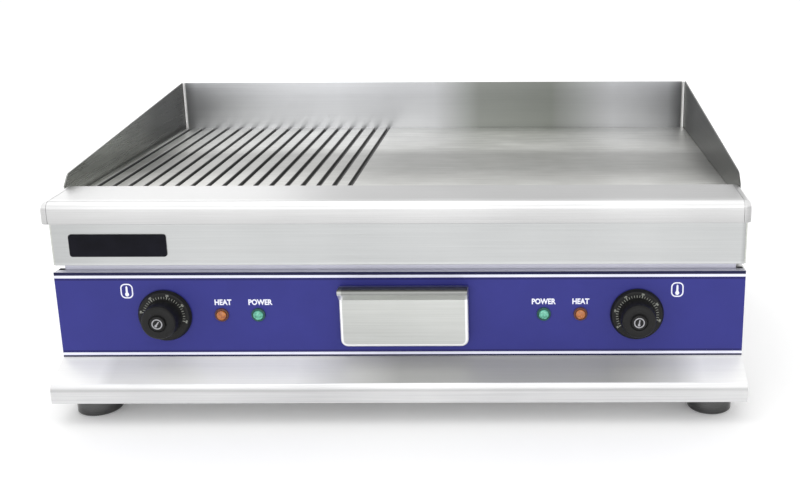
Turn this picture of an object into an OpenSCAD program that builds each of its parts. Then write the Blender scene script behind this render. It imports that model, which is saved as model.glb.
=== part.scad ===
// Countertop electric griddle: part ribbed, part smooth plate, splash guards, grease drawer,
// two thermostat knobs, four indicator lamps and four levelling feet.
// Front faces -Y, +Z is up, the feet stand on Z = 0, and X = 0 is the middle of the width.

/* [Body] */
// Width over the deck and the side panels
body_w = 730; // [700:5:780]
// Front lip face to the back of the splash
deck_d = 472; // [450:2:520]
// Ground to the underside of the base tray
foot_h = 25; // [22:1:40]
// Height of the base tray's upright face
base_h = 19; // [16:1:24]
// How far the base tray stands out in front of the lip
base_out = 21.5; // [16:0.5:28]
// Rise of the sloped apron under the control panel
apron_h = 17; // [14:1:20]
// Height of the control panel
panel_h = 96; // [92:1:110]
// Control panel face behind the lip face
panel_in = 17.4; // [16:0.1:22]
// Shadow gap between the body and the deck
gap_h = 7; // [5:1:10]
// Fascia face behind the lip face
fascia_in = 18.8; // [17:0.1:22]
// Height of the fascia under the lip
fascia_h = 50.5; // [46:0.5:60]
// Height of the rounded front lip
lip_h = 24.5; // [22:0.5:30]
// Depth of the front lip
lip_d = 64; // [56:1:72]
// Radius of the lip's front edge
lip_r = 8; // [6:0.5:10]
// Body sheet thickness
sheet = 1.5; // [1.2:0.1:1.8]

/* [Cooking surface] */
// Plate thickness
plate_t = 10; // [8:1:12]
// Plate top below the lip top
plate_drop = 17; // [14:1:20]
// Width of the grease trough
trough_w = 32; // [28:1:40]
// Trough floor below the plate top
trough_deep = 19; // [17:1:22]
// Number of grooves on the ribbed zone
groove_n = 17; // [10:1:19]
// Groove spacing
groove_pitch = 18; // [15:0.5:18]
// Groove width at the plate top
groove_w = 6; // [4:0.5:7]
// Groove depth
groove_deep = 4; // [3:0.5:5]
// First groove centre from the guard
groove_edge = 7; // [6:0.5:12]
// Thickness of the guards and splash
guard_t = 2; // [1.5:0.5:3]
// Splash height above the plate
splash_h = 67; // [50:1:100]
// Height of the guard's front knee above the lip
knee_h = 11; // [8:1:16]
// Drain hole radius
drain_r = 15; // [12:1:16]

/* [Controls] */
// Knob centre from the middle of the panel
knob_x = 251; // [240:1:260]
// Knob and lamp height above the panel's bottom edge
knob_up = 48; // [46:1:50]
// Dial radius
dial_r = 28.5; // [26:0.5:30]
// Dial thickness
dial_t = 5; // [4:0.5:6]
// Grip radius at the dial
grip_r = 19.6; // [18:0.2:24]
// Grip radius at the nose
nose_r = 18; // [15:0.5:19]
// Nose of the knob out from the panel
knob_out = 27; // [24:1:32]
// Knob cap radius
cap_r = 8.5; // [7:0.5:10]
// Thermostat shaft radius
shaft_r = 3; // [3:0.5:3.5]
// Running clearance of the shaft in its bush
shaft_gap = 0.05; // [0.02:0.01:0.1]
// Inner lamp position from the middle
lamp_in_x = 152; // [148:1:156]
// Outer lamp position from the middle
lamp_out_x = 191; // [186:1:194]
// Lamp bezel radius
lamp_r = 7.5; // [7:0.5:9]
// Badge width
badge_w = 102; // [80:1:120]
// Badge height
badge_h = 24.5; // [20:0.5:30]

/* [Grease drawer] */
// Drawer centre from the middle of the panel
drawer_x = 4; // [0:1:10]
// Drawer front width
drawer_w = 136; // [130:1:150]
// Drawer front height without the handle bead
drawer_h = 66; // [62:1:68]
// Depth of the tray
tray_d = 318; // [280:2:340]
// Width of the tray over its rim
tray_w = 116; // [110:1:116]
// Depth of the tray's cup
tray_deep = 44; // [36:1:46]

/* [Feet] */
// Foot radius
foot_r = 23.5; // [20:0.5:24]
// Foot centre from the middle, sideways
foot_x = 333; // [315:1:337]
// Foot centre behind the base tray's front face
foot_in = 43.5; // [36:0.5:60]
// Radius of the foot's threaded stud
stud_r = 6; // [5:0.5:7]

/* [Hidden] */
$fn = 64;
total_d = base_out + deck_d + 10.5;
lip_y = base_out - total_d / 2;
half_w = body_w / 2;
in_w = half_w - guard_t;
// levels
z_base = foot_h;
z_apron = z_base + base_h;
z_panel = z_apron + apron_h;
z_ptop = z_panel + panel_h;
z_deck = z_ptop + gap_h;
z_lip = z_deck + fascia_h;
z_top = z_lip + lip_h;
z_plate = z_top - plate_drop;
z_floor = z_plate - trough_deep;
z_splash = z_plate + splash_h;
z_under = z_plate - plate_t;
z_knob = z_panel + knob_up;
// depths
base_y = lip_y - base_out;
panel_y = lip_y + panel_in;
metal_y = panel_y + 0.4;
fascia_y = lip_y + fascia_in;
trough_y = lip_y + lip_d;
plate_y = trough_y + trough_w;
splash_y = lip_y + deck_d - guard_t;
back_y = lip_y + deck_d;
rear_y = back_y - 9;
neck_y = panel_y + 8.6;
drain_y = trough_y + trough_w / 2 - 1;
front_y = panel_y - 11;
foot_ys = [base_y + foot_in, rear_y - foot_in + 2];
// drawer
open_w = tray_w + 6;
z_dlow = z_panel + 15;
z_dtop = z_dlow + drawer_h;
z_rim = z_panel + 70;
z_cup = z_rim - tray_deep;
runner_x = tray_w / 2 + 8;
// heating
z_heat = z_under - 4.2;
z_pad = z_under - 16;
z_shield = z_pad - 18;
zone_x = 181;
run_dx = 35;
bulb_x = zone_x + 55;
shield_y = plate_y + 7;
clamp_ys = [lip_y + 200, lip_y + 365];
// rear fittings
gland_x = 280;
gland_z = z_panel + 20;
bond_x = 335;
bond_z = z_panel + 4;

steel = [0.78, 0.79, 0.8];
dark = [0.12, 0.12, 0.12];

// a box between two corners
module block(x0, x1, y0, y1, z0, z1)
    translate([x0, y0, z0])
    cube([x1 - x0, y1 - y0, z1 - z0]);

// a Y-Z outline run along X
module along_x(x0, x1)
    translate([x0, 0, 0])
    rotate([90, 0, 90])
    linear_extrude(x1 - x0)
    children();

// an X-Z outline run along Y
module along_y(y0, y1)
    translate([0, y1, 0])
    rotate([90, 0, 0])
    linear_extrude(y1 - y0)
    children();

// a round bar along Y
module rod_y(x, z, y0, y1, r)
    translate([x, y1, z])
    rotate([90, 0, 0])
    cylinder(h = y1 - y0, r = r);

// a round bar along Z
module rod_z(x, y, z0, z1, r)
    translate([x, y, z0])
    cylinder(h = z1 - z0, r = r);

// a turned shape: the outline's second axis points out of the panel, from its face
module turned(x, z)
    translate([x, panel_y, z])
    rotate([90, 0, 0])
    rotate_extrude()
    children();

// a rounded rectangle with its own low and top corner radii
module soft_rect(x0, x1, z0, z1, rl, rt) {
    translate([x0, z0 + rl]) square([x1 - x0, z1 - z0 - rl - rt]);
    translate([x0 + rl, z0]) square([x1 - x0 - 2 * rl, rl + 1]);
    translate([x0 + rt, z1 - rt - 1]) square([x1 - x0 - 2 * rt, rt + 1]);
    translate([x0 + rl, z0 + rl]) circle(rl);
    translate([x1 - rl, z0 + rl]) circle(rl);
    translate([x0 + rt, z1 - rt]) circle(rt);
    translate([x1 - rt, z1 - rt]) circle(rt);
}

// a hexagon nut blank along Z
module hex_z(x, y, z0, z1, r)
    translate([x, y, z0])
    cylinder(h = z1 - z0, r = r, $fn = 6);

module griddle_plate() {
    color(steel)
    difference() {
        block(-in_w, in_w, plate_y, splash_y, z_under, z_plate);
        for (i = [0 : groove_n - 1])
            translate([groove_edge - in_w + i * groove_pitch, 0, 0])
            along_y(plate_y - 1, splash_y + 1)
            polygon([[-groove_w / 2 - 0.2, z_plate + 0.4], [groove_w / 2 + 0.2, z_plate + 0.4],
                [groove_w / 3, z_plate - groove_deep], [-groove_w / 3, z_plate - groove_deep]]);
        for (sx = [-1, 1])
            rod_z(sx * (in_w - 0.6), splash_y + 0.2, z_under - 1, z_plate + 1, 2.5);
    }
}

// studs welded under the plate, which hold the clamp bars
module plate_studs() {
    color(steel)
    for (sx = [-1, 1])
        for (dx = [-2 * run_dx, 2 * run_dx])
            for (y = clamp_ys)
                rod_z(sx * zone_x + dx, y, z_under - 14.5, z_under, 3);
}

module back_splash() {
    color(steel)
    union() {
        block(-in_w, in_w, splash_y, back_y, z_deck, z_splash);
        block(-in_w, in_w, splash_y - 6, splash_y, z_deck, z_deck + sheet);
        intersection() {
            block(-in_w, in_w, splash_y - 5, splash_y + 1, z_plate, z_splash);
            for (sx = [-1, 1])
                rod_z(sx * (in_w - 0.6), splash_y + 0.2, z_plate, z_splash, 2.2);
        }
    }
}

module guard_sheet(x0, x1, fx) {
    along_x(x0, x1)
    polygon([[fascia_y + sheet, z_deck], [back_y, z_deck], [back_y, z_splash],
        [lip_y + 82, z_top + knee_h + 1.2], [lip_y + 76, z_top + knee_h],
        [lip_y + 73, z_top + knee_h - 2], [trough_y, z_top], [trough_y, z_lip],
        [fascia_y + sheet, z_lip]]);
    block(min(x0, fx), max(x0, fx), fascia_y + sheet, splash_y - 6, z_deck, z_deck + sheet);
}

module left_splash_guard() {
    color(steel)
    guard_sheet(-half_w, -in_w, -half_w + 7.5);
}

module right_splash_guard() {
    color(steel)
    guard_sheet(in_w, half_w, half_w - 7.5);
}

// the lip's outline, inset by e
module lip_outline(e) {
    y1 = trough_y - e;
    zr = z_top - 1.5 - lip_r;
    translate([lip_y + e, z_lip + e]) square([lip_d - 2 * e, zr - z_lip - e]);
    translate([lip_y + lip_r, zr]) circle(lip_r - e);
    polygon([[lip_y + lip_r, zr + lip_r - e], [y1, z_top - e], [y1, z_lip + e],
        [lip_y + lip_r, z_lip + e]]);
}

module front_bullnose() {
    end = 10;
    color(steel)
    union() {
        along_x(-half_w + end, half_w - end)
        difference() {
            lip_outline(0);
            lip_outline(sheet);
            translate([fascia_y + sheet, z_lip - 1]) square([trough_y - fascia_y - 2 * sheet, 4]);
        }
        block(-in_w, in_w, trough_y - sheet, trough_y, z_floor, z_lip + 1);
        for (sx = [-1, 1])
            intersection() {
                along_x(min(sx * (half_w - end), sx * half_w), max(sx * (half_w - end), sx * half_w))
                lip_outline(0);
                union() {
                    block(-half_w, half_w, lip_y + lip_r, trough_y, z_lip, z_top);
                    block(-half_w + lip_r, half_w - lip_r, lip_y, lip_y + lip_r, z_lip, z_top);
                    rod_z(sx * (half_w - lip_r), lip_y + lip_r, z_lip, z_top, lip_r);
                }
            }
    }
}

module grease_trough() {
    color(steel)
    difference() {
        union() {
            block(-in_w, in_w, trough_y - sheet, plate_y, z_floor - sheet, z_floor);
            block(-in_w, in_w, plate_y - sheet, plate_y, z_floor - sheet, z_plate);
            block(-in_w, in_w, plate_y - sheet, plate_y + 6, z_under - sheet, z_under);
        }
        rod_z(drawer_x, drain_y, z_floor - 5, z_floor + 5, drain_r - sheet);
    }
}

module drain_spout() {
    color(steel)
    difference() {
        union() {
            rod_z(drawer_x, drain_y, z_rim + 12, z_floor - sheet, drain_r);
            rod_z(drawer_x, drain_y, z_floor - 2 * sheet, z_floor - sheet, drain_r + 4);
        }
        rod_z(drawer_x, drain_y, z_rim, z_floor + 5, drain_r - sheet);
    }
}

module front_fascia() {
    color(steel)
    union() {
        block(-in_w, in_w, fascia_y, fascia_y + sheet, z_deck, z_lip);
        block(-half_w + 8, half_w - 8, fascia_y, neck_y - 0.5, z_deck, z_deck + sheet);
    }
}

module name_badge() {
    x = -half_w + 70.5;
    z = z_lip - 28.3;
    color(dark)
    along_y(fascia_y - 1.5, fascia_y)
    soft_rect(x - badge_w / 2, x + badge_w / 2, z - badge_h / 2, z + badge_h / 2, 3, 3);
}

module neck_frame() {
    w = half_w - 9;
    y1 = rear_y - 3;
    color(steel)
    difference() {
        block(-w, w, neck_y, y1, z_ptop - 7, z_shield - sheet);
        block(-w + sheet, w - sheet, neck_y + sheet, y1 - sheet, z_ptop - 8, z_shield);
    }
}

module terminal_holes(z0, z1)
    for (sx = [-1, 1])
        for (dx = [-3 * run_dx, 3 * run_dx])
            rod_z(sx * zone_x + dx, lip_y + 118, z0, z1, 6);

module heat_shield() {
    color(steel)
    difference() {
        block(-half_w + 9, half_w - 9, shield_y, rear_y - 3, z_shield - sheet, z_shield);
        terminal_holes(z_shield - 5, z_shield + 5);
    }
}

module insulation_pad() {
    color([0.93, 0.92, 0.88])
    difference() {
        block(-half_w + 11, half_w - 11, shield_y + 1, rear_y - 4, z_shield, z_pad);
        terminal_holes(z_shield - 5, z_pad + 5);
    }
}

// half a turn of heater tube, opening to the front or to the back
module heater_bend(x, y, turn)
    translate([x, y, z_heat])
    rotate([0, 0, turn])
    rotate_extrude(angle = 180)
    translate([run_dx, 0])
    circle(4);

module heater(cx) {
    y0 = lip_y + 155;
    y1 = lip_y + 415;
    for (i = [-1, 1]) {
        rod_y(cx + i * run_dx, z_heat, y0, y1, 4);
        rod_y(cx + i * 3 * run_dx, z_heat, lip_y + 118, y1, 4);
        heater_bend(cx + i * 2 * run_dx, y1, 0);
        translate([cx + i * 3 * run_dx, lip_y + 118, z_heat]) sphere(4);
        rod_z(cx + i * 3 * run_dx, lip_y + 118, z_shield - 12, z_heat, 4);
    }
    heater_bend(cx, y0, 180);
}

module heating_element_left() {
    color([0.45, 0.42, 0.4])
    heater(-zone_x);
}

module heating_element_right() {
    color([0.45, 0.42, 0.4])
    heater(zone_x);
}

module element_clamps() {
    color(steel)
    for (sx = [-1, 1])
        for (y = clamp_ys)
            difference() {
                block(sx * zone_x - 125, sx * zone_x + 125, y - 10, y + 10,
                    z_heat - 7.2, z_heat - 4.2);
                for (dx = [-2 * run_dx, 2 * run_dx])
                    rod_z(sx * zone_x + dx, y, z_heat - 9, z_heat, 3.2);
            }
}

module clamp_nuts() {
    color([0.8, 0.7, 0.4])
    for (sx = [-1, 1])
        for (dx = [-2 * run_dx, 2 * run_dx])
            for (y = clamp_ys)
                difference() {
                    hex_z(sx * zone_x + dx, y, z_heat - 10, z_heat - 7.2, 5.5);
                    rod_z(sx * zone_x + dx, y, z_heat - 11, z_heat, 3.1);
                }
}

// every hole through the control panel; the overlay's holes are a little larger
module panel_holes(more) {
    for (sx = [-1, 1]) {
        translate([sx * knob_x, z_knob]) circle(5.5 + more);
        for (dx = [-14, 14])
            translate([sx * knob_x + dx, z_knob]) circle(2.1 + 5 * more);
        translate([sx * lamp_in_x, z_knob]) circle(6.1 + more / 2);
        translate([sx * lamp_out_x, z_knob]) circle(6.1 + more / 2);
    }
    translate([drawer_x - open_w / 2 - more, z_cup - 5])
    square([open_w + 2 * more, z_rim - z_cup + 9]);
}

module control_panel() {
    color(steel)
    union() {
        along_y(metal_y, metal_y + sheet)
        difference() {
            translate([-half_w, z_panel]) square([body_w, panel_h]);
            panel_holes(0);
        }
        block(-in_w, in_w, metal_y, neck_y - 1, z_ptop - sheet, z_ptop);
        block(-in_w, in_w, metal_y, metal_y + 11, z_panel, z_panel + sheet);
    }
}

module panel_overlay() {
    color([0.2, 0.19, 0.55])
    along_y(panel_y, metal_y)
    difference() {
        translate([-half_w, z_panel + 0.3]) square([body_w, panel_h - 0.6]);
        panel_holes(0.5);
    }
}

// a snap-in indicator lamp: body, flange and raised lens
module lamp(x)
    turned(x, z_knob)
    polygon([[0, -30], [5.9, -30], [5.9, 0.05], [lamp_r, 0.05], [lamp_r, 1], [lamp_r - 0.8, 1.8],
        [5.6, 1.8], [5.2, 3.2], [3, 4.2], [0, 4.4]]);

module heat_lamp_left() {
    color([0.85, 0.42, 0.1])
    lamp(-lamp_out_x);
}

module power_lamp_left() {
    color([0.2, 0.7, 0.5])
    lamp(-lamp_in_x);
}

module power_lamp_right() {
    color([0.2, 0.7, 0.5])
    lamp(lamp_in_x);
}

module heat_lamp_right() {
    color([0.85, 0.42, 0.1])
    lamp(lamp_out_x);
}

module thermostat(cx) {
    y0 = metal_y + sheet;
    difference() {
        union() {
            block(cx - 21, cx + 21, y0, y0 + 34, z_knob - 18, z_knob + 18);
            rod_y(cx, z_knob, metal_y - 0.9, y0 + 2, 5.2);
            for (dx = [-12, 0, 12])
                block(cx + dx - 3.2, cx + dx + 3.2, y0 + 33, y0 + 42, z_knob - 12, z_knob - 11);
        }
        rod_y(cx, z_knob, metal_y - 5, y0 + 26, shaft_r + shaft_gap);
        for (dx = [-14, 14])
            rod_y(cx + dx, z_knob, y0 - 1, y0 + 8, 2);
    }
}

module thermostat_left() {
    color([0.8, 0.78, 0.72])
    thermostat(-knob_x);
}

module thermostat_right() {
    color([0.8, 0.78, 0.72])
    thermostat(knob_x);
}

module thermostat_screws() {
    color(steel)
    for (sx = [-1, 1])
        for (dx = [-14, 14]) {
            rod_y(sx * knob_x + dx, z_knob, metal_y - 0.8, metal_y, 4);
            rod_y(sx * knob_x + dx, z_knob, metal_y - 0.1, metal_y + sheet + 7, 2);
        }
}

module capillary(cx) {
    y0 = metal_y + sheet + 24;
    y1 = lip_y + 214;
    z1 = z_pad + 2;
    z2 = z_under - 3.2;
    rod_z(cx, y0, z_knob + 18, z1, 1);
    translate([cx, y0, z1]) sphere(1);
    rod_y(cx, z1, y0, y1, 1);
    translate([cx, y1, z1]) sphere(1);
    rod_z(cx, y1, z1, z2, 1);
    rod_y(cx, z2, y1 - 1, y1 + 80, 3);
}

module capillary_left() {
    color([0.72, 0.45, 0.3])
    capillary(-bulb_x);
}

module capillary_right() {
    color([0.72, 0.45, 0.3])
    capillary(bulb_x);
}

screw_ys = [lip_y + 60, lip_y + 240, lip_y + 420];
screw_z = z_base + base_h / 2;

// the right side panel; the left one is its mirror image
module side_panel() {
    y0 = metal_y + sheet;
    difference() {
        union() {
            block(half_w - sheet, half_w, y0, rear_y, z_apron, z_ptop);
            block(half_w - 2 * sheet, half_w - sheet, y0 + 12, rear_y - 14, z_base + 4, z_apron + 14);
            block(half_w - 8, half_w, y0 + 12, rear_y - 4, z_ptop - sheet, z_ptop);
        }
        for (y = screw_ys)
            translate([half_w - 6, y, screw_z])
            rotate([0, 90, 0])
            cylinder(h = 5, r = 2.1);
        for (i = [0 : 7])
            block(half_w - 5, half_w + 5, rear_y - 190 + i * 12, rear_y - 186 + i * 12,
                z_ptop - 62, z_ptop - 22);
    }
}

module left_side_panel() {
    color(steel)
    mirror([1, 0, 0])
    side_panel();
}

module right_side_panel() {
    color(steel)
    side_panel();
}

module rear_panel() {
    w = half_w - sheet;
    color(steel)
    difference() {
        union() {
            block(-w, w, rear_y - sheet, rear_y, z_apron, z_ptop);
            block(-w + 14, w - 14, rear_y - 2 * sheet, rear_y - sheet, z_base + 4, z_apron + 14);
            block(-w + 14, w - 14, rear_y - 2.5, rear_y, z_ptop - sheet, z_ptop);
        }
        for (x = [-300, 0, 300])
            rod_y(x, screw_z, rear_y - 5, rear_y + 5, 2.1);
        for (sx = [-1, 1])
            for (i = [0 : 9])
                block(sx * 150 - 57 + i * 12, sx * 150 - 53 + i * 12, rear_y - 5, rear_y + 5,
                    z_ptop - 66, z_ptop - 20);
        rod_y(gland_x, gland_z, rear_y - 5, rear_y + 5, 10.1);
        rod_y(bond_x, bond_z, rear_y - 5, rear_y + 5, 2.6);
    }
}

module base_tray() {
    t = sheet;
    yk = metal_y + 12;
    slope = apron_h / (panel_y - base_y);
    color(steel)
    difference() {
        union() {
            along_x(-half_w + t, half_w - t)
            polygon([[base_y, z_base], [base_y, z_apron], [panel_y, z_panel], [yk, z_panel],
                [yk, z_panel - t], [panel_y + 0.3, z_panel - t],
                [base_y + t, z_apron - t + slope * t], [base_y + t, z_base + t],
                [rear_y, z_base + t], [rear_y, z_base]]);
            for (x = [-half_w, half_w - t])
                along_x(x, x + t)
                polygon([[base_y, z_base], [base_y, z_apron], [panel_y, z_panel],
                    [metal_y + t, z_panel], [metal_y + t, z_apron], [rear_y, z_apron],
                    [rear_y, z_base]]);
            block(-half_w, half_w, rear_y - t, rear_y, z_base, z_apron);
        }
        for (sx = [-1, 1]) {
            for (y = foot_ys)
                rod_z(sx * foot_x, y, z_base - 1, z_base + 5, stud_r + 0.5);
            for (y = screw_ys)
                translate([sx * half_w - 5, y, screw_z])
                rotate([0, 90, 0])
                cylinder(h = 10, r = 2.1);
            for (i = [0 : 5])
                block(sx * 200 - 60, sx * 200 + 60, base_y + 160 + i * 16, base_y + 165 + i * 16,
                    z_base - 1, z_base + 5);
        }
        for (x = [-300, 0, 300])
            rod_y(x, screw_z, rear_y - 5, rear_y + 5, 2.1);
    }
}

module panel_screws() {
    color(steel) {
        for (sx = [-1, 1])
            for (y = screw_ys)
                translate([sx * half_w, y, screw_z])
                rotate([0, sx * 90, 0]) {
                    cylinder(h = 2.4, r = 4.2);
                    translate([0, 0, -9]) cylinder(h = 9.5, r = 2);
                }
        for (x = [-300, 0, 300]) {
            rod_y(x, screw_z, rear_y, rear_y + 2.4, 4.2);
            rod_y(x, screw_z, rear_y - 9, rear_y + 0.5, 2);
        }
    }
}

module foot_weld_nuts() {
    color(steel)
    for (sx = [-1, 1])
        for (y = foot_ys)
            difference() {
                hex_z(sx * foot_x, y, z_base + sheet, z_base + sheet + 10, 11);
                rod_z(sx * foot_x, y, z_base, z_base + 20, stud_r + 0.08);
            }
}

// a drawer runner for one side: foot flange, web and the leg the tray's rim rides on
module runner(s) {
    x = drawer_x;
    y0 = metal_y + 14;
    y1 = y0 + tray_d + 4;
    block(min(x + s * runner_x, x + s * (runner_x + sheet)),
        max(x + s * runner_x, x + s * (runner_x + sheet)), y0, y1, z_base + sheet, z_rim + 3);
    block(min(x + s * (tray_w / 2 - 4), x + s * (runner_x + sheet)),
        max(x + s * (tray_w / 2 - 4), x + s * (runner_x + sheet)), y0, y1,
        z_rim - 1.2 - 0.3 - sheet, z_rim - 1.2 - 0.3);
    block(min(x + s * runner_x, x + s * (runner_x + 14)),
        max(x + s * runner_x, x + s * (runner_x + 14)), y0, y1, z_base + sheet, z_base + 2 * sheet);
}

module runner_left() {
    color(steel)
    runner(-1);
}

module runner_right() {
    color(steel)
    runner(1);
}

module terminal_block() {
    y = lip_y + 400;
    color([0.9, 0.9, 0.86])
    difference() {
        union() {
            block(220, 300, y - 14, y + 14, z_base + sheet, z_base + sheet + 12);
            block(222, 298, y - 8, y + 8, z_base + sheet + 11, z_base + sheet + 26);
        }
        for (i = [0 : 4])
            rod_y(230 + i * 15, z_base + sheet + 18, y - 20, y + 20, 3);
    }
}

// strain relief: hexagon flange and dome outside, threaded neck through the panel
module cable_gland() {
    color(dark)
    difference() {
        union() {
            translate([gland_x, rear_y + 6, gland_z])
            rotate([90, 0, 0])
            cylinder(h = 6, r = 15, $fn = 6);
            rod_y(gland_x, gland_z, rear_y - 12, rear_y + 7, 10);
            translate([gland_x, rear_y + 6, gland_z])
            rotate([-90, 0, 0])
            cylinder(h = 13.5, r1 = 12.8, r2 = 9.5);
        }
        rod_y(gland_x, gland_z, rear_y - 20, rear_y + 30, 6);
    }
}

module gland_locknut() {
    color(dark)
    difference() {
        translate([gland_x, rear_y - sheet, gland_z])
        rotate([90, 0, 0])
        cylinder(h = 5, r = 15, $fn = 6);
        rod_y(gland_x, gland_z, rear_y - 20, rear_y + 2, 10.05);
    }
}

module equipotential_stud() {
    color([0.85, 0.7, 0.4])
    union() {
        rod_y(bond_x, bond_z, rear_y - 10, rear_y + 1, 2.4);
        translate([bond_x, rear_y + 5, bond_z])
        rotate([90, 0, 0])
        cylinder(h = 5, r = 5.8, $fn = 6);
        rod_y(bond_x, bond_z, rear_y + 4, rear_y + 17, 3);
    }
}

module equipotential_nut() {
    color([0.85, 0.7, 0.4])
    difference() {
        translate([bond_x, rear_y - sheet, bond_z])
        rotate([90, 0, 0])
        cylinder(h = 4, r = 4.6, $fn = 6);
        rod_y(bond_x, bond_z, rear_y - 8, rear_y, 2.5);
    }
}

module grip(cx)
    turned(cx, z_knob)
    polygon([[shaft_r + 0.05, 1.2 + dial_t], [grip_r, 1.2 + dial_t], [grip_r - 0.4, 3.5 + dial_t],
        [nose_r + 0.6, knob_out - 4.2], [nose_r - 0.6, knob_out - 2.4],
        [nose_r - 2.6, knob_out - 1.4], [cap_r + 0.1, knob_out - 1.4],
        [cap_r + 0.1, knob_out - 3], [0, knob_out - 3], [0, knob_out - 6],
        [shaft_r + 0.05, knob_out - 6]]);

module knob_left() {
    color(dark)
    grip(-knob_x);
}

module knob_right() {
    color(dark)
    grip(knob_x);
}

module dial(cx)
    turned(cx, z_knob)
    polygon([[shaft_r + 0.05, 1], [dial_r, 1], [dial_r, 2.2], [dial_r - 2.2, 1.1 + dial_t],
        [shaft_r + 0.05, 1.1 + dial_t]]);

module dial_left() {
    color(dark)
    dial(-knob_x);
}

module dial_right() {
    color(dark)
    dial(knob_x);
}

module cap(cx)
    turned(cx, z_knob)
    polygon([[0, knob_out - 2.9], [cap_r, knob_out - 2.9], [cap_r, knob_out - 0.8],
        [cap_r - 0.8, knob_out], [0, knob_out]]);

module knob_cap_left() {
    color(dark)
    cap(-knob_x);
}

module knob_cap_right() {
    color(dark)
    cap(knob_x);
}

module shaft_left() {
    color(steel)
    rod_y(-knob_x, z_knob, panel_y - knob_out + 6.2, metal_y + sheet + 24, shaft_r);
}

module shaft_right() {
    color(steel)
    rod_y(knob_x, z_knob, panel_y - knob_out + 6.2, metal_y + sheet + 24, shaft_r);
}

// pressed pan with a returned edge all round
module drawer_front() {
    x0 = drawer_x - drawer_w / 2;
    x1 = drawer_x + drawer_w / 2;
    color(steel)
    difference() {
        along_y(front_y, front_y + 9)
        soft_rect(x0, x1, z_dlow, z_dtop, 8, 1.5);
        along_y(front_y + sheet, front_y + 10)
        soft_rect(x0 + sheet, x1 - sheet, z_dlow + sheet, z_dtop - sheet, 6.5, 1);
    }
}

// the folded finger bead along the drawer's top edge
module drawer_handle() {
    x0 = drawer_x - drawer_w / 2;
    y = front_y;
    color(steel)
    along_x(x0, x0 + drawer_w)
    polygon([[y, z_dtop - 13], [y, z_dtop], [y + 3, z_dtop], [y + 2, z_dtop + 1.2],
        [y - 7, z_dtop + 1.2], [y - 9, z_dtop], [y - 9.6, z_dtop - 2], [y - 9, z_dtop - 4]]);
}

module drawer_tray() {
    y0 = front_y + sheet;
    y1 = y0 + tray_d;
    w = tray_w / 2 - 5;
    t = 1.2;
    color(steel)
    difference() {
        union() {
            block(drawer_x - w, drawer_x + w, y0, y1, z_cup, z_rim);
            block(drawer_x - tray_w / 2, drawer_x + tray_w / 2, metal_y + 8, y1, z_rim - t, z_rim);
        }
        block(drawer_x - w + t, drawer_x + w - t, y0 + t, y1 - t, z_cup + t, z_rim + 1);
    }
}

module foot(x, y)
    translate([x, y, 0])
    rotate_extrude()
    polygon([[0, 0], [foot_r - 1, 0], [foot_r, 1], [foot_r, foot_h - 2.5],
        [foot_r - 1.5, foot_h - 1], [stud_r + 0.08, foot_h - 1], [stud_r + 0.08, foot_h - 13],
        [0, foot_h - 13]]);

module foot_front_left() {
    color(steel)
    foot(-foot_x, foot_ys[0]);
}

module foot_front_right() {
    color(steel)
    foot(foot_x, foot_ys[0]);
}

module foot_rear_left() {
    color(steel)
    foot(-foot_x, foot_ys[1]);
}

module foot_rear_right() {
    color(steel)
    foot(foot_x, foot_ys[1]);
}

module stud(x, y)
    rod_z(x, y, foot_h - 13, z_base + 30, stud_r);

module stud_front_left() {
    color(steel)
    stud(-foot_x, foot_ys[0]);
}

module stud_front_right() {
    color(steel)
    stud(foot_x, foot_ys[0]);
}

module stud_rear_left() {
    color(steel)
    stud(-foot_x, foot_ys[1]);
}

module stud_rear_right() {
    color(steel)
    stud(foot_x, foot_ys[1]);
}

griddle_plate();
plate_studs();
back_splash();
left_splash_guard();
right_splash_guard();
front_bullnose();
grease_trough();
drain_spout();
front_fascia();
name_badge();
neck_frame();
heat_shield();
insulation_pad();
heating_element_left();
heating_element_right();
element_clamps();
clamp_nuts();
control_panel();
panel_overlay();
heat_lamp_left();
power_lamp_left();
power_lamp_right();
heat_lamp_right();
thermostat_left();
thermostat_right();
thermostat_screws();
capillary_left();
capillary_right();
left_side_panel();
right_side_panel();
rear_panel();
base_tray();
panel_screws();
foot_weld_nuts();
runner_left();
runner_right();
terminal_block();
cable_gland();
gland_locknut();
equipotential_stud();
equipotential_nut();
knob_left();
dial_left();
knob_cap_left();
shaft_left();
knob_right();
dial_right();
knob_cap_right();
shaft_right();
drawer_front();
drawer_handle();
drawer_tray();
foot_front_left();
foot_front_right();
foot_rear_left();
foot_rear_right();
stud_front_left();
stud_front_right();
stud_rear_left();
stud_rear_right();
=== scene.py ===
import math

import bmesh
import bpy
from mathutils import Matrix, Vector


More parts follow.
